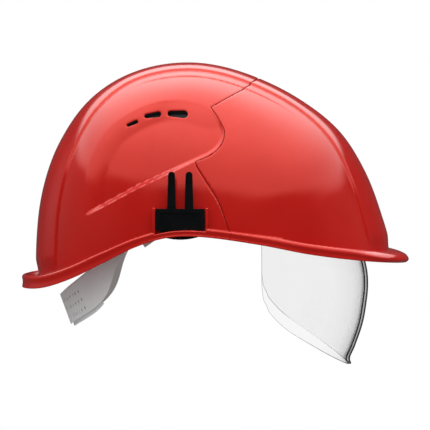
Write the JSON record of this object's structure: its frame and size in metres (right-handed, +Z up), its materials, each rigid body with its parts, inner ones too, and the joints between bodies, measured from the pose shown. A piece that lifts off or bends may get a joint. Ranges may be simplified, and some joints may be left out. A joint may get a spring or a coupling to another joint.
{
  "type": "safety helmet with retractable visor",
  "caption": "Two-part vented safety helmet shell with brim, six-point harness, perforated nape straps, slot adapters and a clear visor that slides up between the shells.",
  "frame": {"origin": "centre of the head opening: on the middle plane, half-way between the front and rear walls, at the height of the headband's lower edge", "axes": "+X forward, +Y to the wearer's left, +Z up"},
  "size_m": [0.2953, 0.224, 0.2305],
  "materials": {
    "shell_red": "glossy moulded ABS",
    "guide_black": "satin",
    "adapter_black": "satin",
    "screw_steel": "zinc plated",
    "rivet_black": "satin",
    "shoe_white": "acetal",
    "visor_clear": "clear hard-coated polycarbonate",
    "harness_grey": "light grey polyethylene",
    "sweatband_foam": "woven cover over foam",
    "pad_foam": "woven cover over foam",
    "webbing_yellow": "woven polyester"
  },
  "bodies": {
    "helmet": {"main_shell": "shell_red", "front_shell": "shell_red", "guide_rail_right": "guide_black", "guide_rail_left": "guide_black", "rail_screws": "screw_steel", "cover_screws": "screw_steel", "headband": "harness_grey", "sweatband": "sweatband_foam", "harness_keys": "harness_grey", "crown_pad": "pad_foam", "webbing_side": "webbing_yellow", "webbing_front_left": "webbing_yellow", "webbing_front_right": "webbing_yellow"},
    "visor": {"visor_lens": "visor_clear", "visor_carrier_right": "guide_black", "visor_carrier_left": "guide_black", "guide_shoes": "shoe_white", "carrier_rivets": "rivet_black"},
    "nape_right": {"nape_strap_right": "harness_grey"},
    "nape_left": {"nape_strap_left": "harness_grey", "nape_pegs": "harness_grey"},
    "adapter_right": {"accessory_adapter_right": "adapter_black"},
    "adapter_left": {"accessory_adapter_left": "adapter_black"}
  },
  "joints": [
    {"name": "visor_tilt", "type": "hinge", "parent": "helmet", "child": "visor", "pos_m": [-0.045, 0, -0.01], "axis": [0, -1, 0], "range_deg": [0, 28]},
    {"name": "nape_adjust_right", "type": "hinge", "parent": "helmet", "child": "nape_right", "pos_m": [-0.0477, 0, -0.0095], "axis": [-0.5736, 0, 0.8192], "range_deg": [-3.67, 3.67]},
    {"name": "nape_adjust_left", "type": "hinge", "parent": "helmet", "child": "nape_left", "pos_m": [-0.0477, 0, -0.0095], "axis": [-0.5736, 0, 0.8192], "range_deg": [-3.67, 3.67], "deforming": ["nape_pegs"]},
    {"name": "adapter_right_slide", "type": "slide", "parent": "helmet", "child": "adapter_right", "axis": [0, 0, 1], "range_m": [0, 0.025]},
    {"name": "adapter_left_slide", "type": "slide", "parent": "helmet", "child": "adapter_left", "axis": [0, 0, 1], "range_m": [0, 0.025]}
  ],
  "couplings": [
    {"joint": "nape_adjust_left", "follows": "nape_adjust_right", "ratio": -1}
  ]
}
